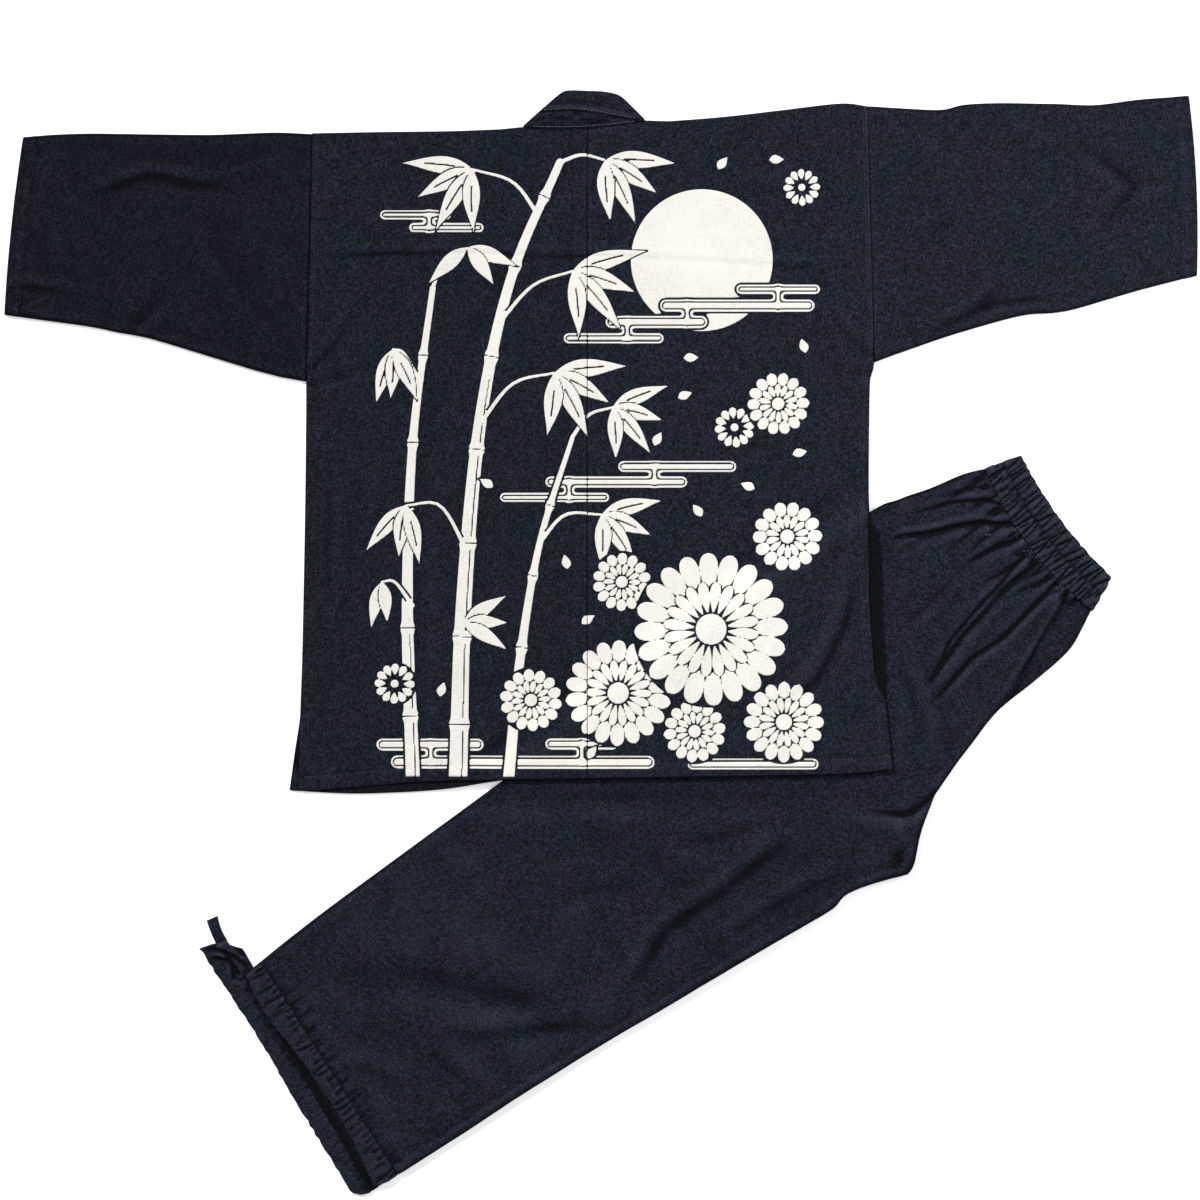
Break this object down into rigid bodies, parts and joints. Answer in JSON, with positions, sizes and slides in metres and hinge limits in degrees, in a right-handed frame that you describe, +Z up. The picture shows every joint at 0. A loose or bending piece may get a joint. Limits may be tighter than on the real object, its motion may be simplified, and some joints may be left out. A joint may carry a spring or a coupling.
{
  "type": "samue set laid flat",
  "caption": "Indigo cotton samue laid flat: jacket back up with sleeves out, trousers with gathered waist and cuffs folded in half under its corner.",
  "frame": {"origin": "centre of the footprint, on the surface the garment lies on", "axes": "+X across the jacket from the wearer's left sleeve to the right one as laid, +Y towards the collar, +Z up through the layers"},
  "size_m": [1.3129, 1.2167, 0.0108],
  "materials": {
    "jacket_cotton": "dark indigo denim-like cotton twill, matt, slightly mottled",
    "trouser_cotton": "dark indigo denim-like cotton twill, matt, a little more violet",
    "white_print": "off-white pigment print on the cotton, weave showing through"
  },
  "bodies": {
    "root": {"back_left": "jacket_cotton", "back_right": "jacket_cotton", "front_left": "jacket_cotton", "front_right": "jacket_cotton", "collar_neck": "jacket_cotton", "collar_left": "jacket_cotton", "collar_right": "jacket_cotton", "sleeve_left": "jacket_cotton", "sleeve_right": "jacket_cotton", "tie_left": "jacket_cotton", "tie_right": "jacket_cotton", "leg_upper": "trouser_cotton", "leg_lower": "trouser_cotton", "waistband": "trouser_cotton", "cuff_upper": "trouser_cotton", "cuff_lower": "trouser_cotton", "cuff_tie": "trouser_cotton"}
  },
  "joints": []
}
